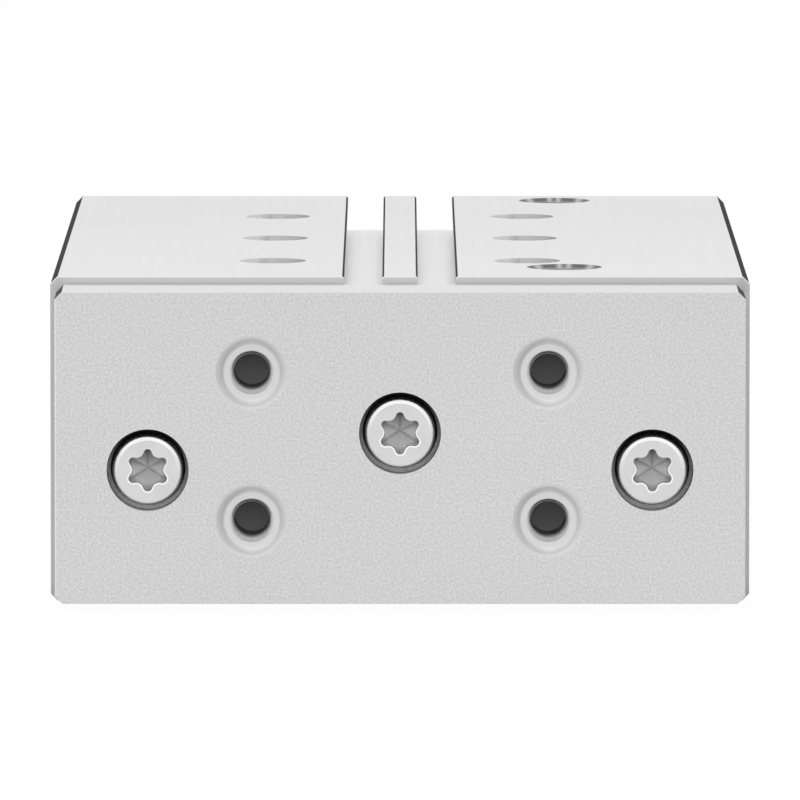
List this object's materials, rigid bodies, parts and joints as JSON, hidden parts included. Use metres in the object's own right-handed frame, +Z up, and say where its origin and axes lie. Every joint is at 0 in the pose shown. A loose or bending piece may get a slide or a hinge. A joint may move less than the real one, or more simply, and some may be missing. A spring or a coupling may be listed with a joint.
{
  "type": "guided pneumatic cylinder",
  "caption": "Flat aluminium housing with an air cylinder between guide rods that push a tapped yoke plate straight out; sensor slots and air ports on top.",
  "frame": {"origin": "centre of the housing's base face", "axes": "+Z up, -Y out of the front, the way the yoke plate moves, +X right when seen from the front"},
  "size_m": [0.0948, 0.161, 0.044],
  "materials": {
    "anodised_housing": "satin clear anodised",
    "blasted_yoke": "matt bead-blasted and anodised",
    "turned_aluminium": "fine turned",
    "ground_steel": "hardened, ground and chromed",
    "plated_screw": "bright zinc plated",
    "spring_steel": "phosphated",
    "bearing_bronze": "sintered, oiled",
    "nitrile_rubber": "matt black",
    "polyurethane": "satin",
    "bonded_magnet": "moulded, magnetised",
    "bearing_plastic": "matt"
  },
  "bodies": {
    "housing_unit": {"housing": "anodised_housing", "front_bearing_cap": "turned_aluminium", "rod_bush": "bearing_bronze", "rod_seal": "nitrile_rubber", "front_cap_o_ring": "nitrile_rubber", "front_circlip": "spring_steel", "front_cushion_ring": "polyurethane", "rear_end_cap": "turned_aluminium", "rear_cap_o_ring": "nitrile_rubber", "rear_circlip": "spring_steel", "rear_cushion_ring": "polyurethane", "left_guide_wiper": "nitrile_rubber", "right_guide_wiper": "nitrile_rubber", "left_front_guide_bush": "bearing_bronze", "right_front_guide_bush": "bearing_bronze", "left_rear_guide_bush": "bearing_bronze", "right_rear_guide_bush": "bearing_bronze"},
    "yoke_unit": {"yoke_plate": "blasted_yoke", "piston_rod_screw": "plated_screw", "left_guide_rod_screw": "plated_screw", "right_guide_rod_screw": "plated_screw", "left_guide_rod": "ground_steel", "right_guide_rod": "ground_steel", "piston_rod": "ground_steel", "piston": "turned_aluminium", "piston_screw": "plated_screw", "front_piston_seal": "polyurethane", "rear_piston_seal": "polyurethane", "piston_wear_ring": "bearing_plastic", "piston_magnet": "bonded_magnet"}
  },
  "joints": [
    {"name": "yoke_slide", "type": "slide", "parent": "housing_unit", "child": "yoke_unit", "axis": [0, -1, 0], "range_m": [0, 0.1]}
  ]
}
